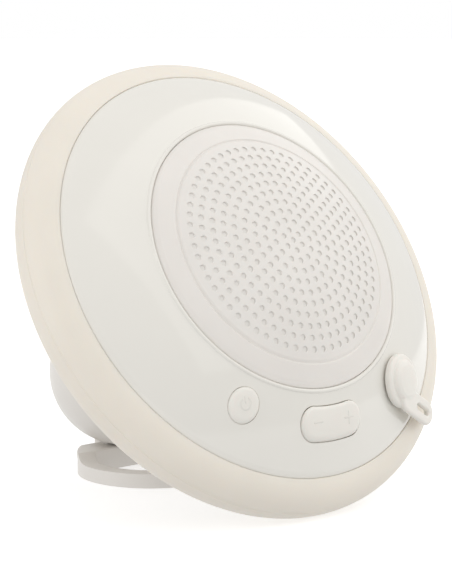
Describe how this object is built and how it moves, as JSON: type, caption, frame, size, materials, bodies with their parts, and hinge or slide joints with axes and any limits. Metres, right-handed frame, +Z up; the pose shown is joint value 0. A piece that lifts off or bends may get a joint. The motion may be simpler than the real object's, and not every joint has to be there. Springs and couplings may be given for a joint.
{
  "type": "floating shower speaker",
  "caption": "Round splashproof speaker with a domed perforated cover, soft bumper ring, rubber keys, battery neck with twist-off cap, and a folding foot loop.",
  "frame": {"origin": "on the surface it stands on, under the middle of its outline", "axes": "+X to the right seen from the front, -Y the way the face looks, +Z up"},
  "size_m": [0.1786, 0.1465, 0.1552],
  "materials": {
    "ivory_gloss": "glossy moulded ABS",
    "cover_frost": "frosted translucent moulding",
    "silicone_ring": "soft silicone, satin",
    "key_rubber": "soft rubber, satin",
    "shell_matte": "satin moulded ABS",
    "seal_rubber": "dark rubber",
    "membrane_film": "thin white film",
    "steel": "plain steel",
    "zinc_frame": "black painted steel",
    "cone_paper": "moulded polypropylene",
    "spider_cloth": "resin-stiffened cloth",
    "copper_coil": "copper winding",
    "ferrite": "dark ferrite",
    "board_green": "solder-masked circuit board",
    "component_black": "moulded component bodies",
    "holder_black": "moulded carrier",
    "cell_wrap": "printed sleeve without any marks",
    "nickel": "nickel plate",
    "lead_red": "flexible lead",
    "lead_black": "flexible lead"
  },
  "bodies": {
    "housing": {"front_bezel": "ivory_gloss", "speaker_cover": "cover_frost", "cover_seal": "seal_rubber", "waterproof_membrane": "membrane_film", "bumper_ring": "silicone_ring", "rear_shell": "shell_matte", "case_seal": "seal_rubber", "case_screws": "steel", "driver_frame": "zinc_frame", "driver_gasket": "seal_rubber", "driver_screws": "steel", "cone_surround": "seal_rubber", "speaker_cone": "cone_paper", "dust_cap": "cone_paper", "spider": "spider_cloth", "voice_coil": "copper_coil", "front_plate": "steel", "magnet": "ferrite", "magnet_yoke": "steel", "control_board": "board_green", "power_switch": "component_black", "volume_switches": "component_black", "audio_socket": "component_black", "amplifier_board": "board_green", "amplifier_chip": "component_black", "capacitors": "component_black", "board_screws": "steel", "battery_holder": "holder_black", "battery_cells": "cell_wrap", "front_contacts": "nickel", "rear_contacts": "nickel", "speaker_leads": "lead_red", "battery_leads": "lead_red", "control_leads": "lead_black", "cap_seal": "seal_rubber"},
    "power_key": {"power_button": "key_rubber"},
    "volume_key": {"volume_rocker": "key_rubber"},
    "plug": {"socket_plug": "key_rubber"},
    "cap": {"battery_cap": "shell_matte"},
    "foot_loop": {"stand_loop": "shell_matte", "stand_pin": "steel"}
  },
  "joints": [
    {"name": "power_press", "type": "slide", "parent": "housing", "child": "power_key", "axis": [0, 0.8508, -0.5255], "range_m": [0, 0.0009], "stiffness_N_per_m": 1500},
    {"name": "volume_rock", "type": "hinge", "parent": "housing", "child": "volume_key", "pos_m": [0, -0.06981, 0.03341], "axis": [0, 0.5255, 0.8508], "range_deg": [-3, 3], "stiffness_Nm_per_rad": 0.25},
    {"name": "plug_pull", "type": "slide", "parent": "housing", "child": "plug", "axis": [0.2682, -0.9499, 0.1607], "range_m": [0, 0.06]},
    {"name": "cap_turn", "type": "hinge", "parent": "housing", "child": "cap", "pos_m": [0, 0.04466, 0.037], "axis": [0, 0.8508, -0.5255], "range_deg": [0, 45]},
    {"name": "loop_fold", "type": "hinge", "parent": "cap", "child": "foot_loop", "pos_m": [0, 0.05186, 0.0042], "axis": [1, 0, 0], "range_deg": [0, 145]}
  ]
}
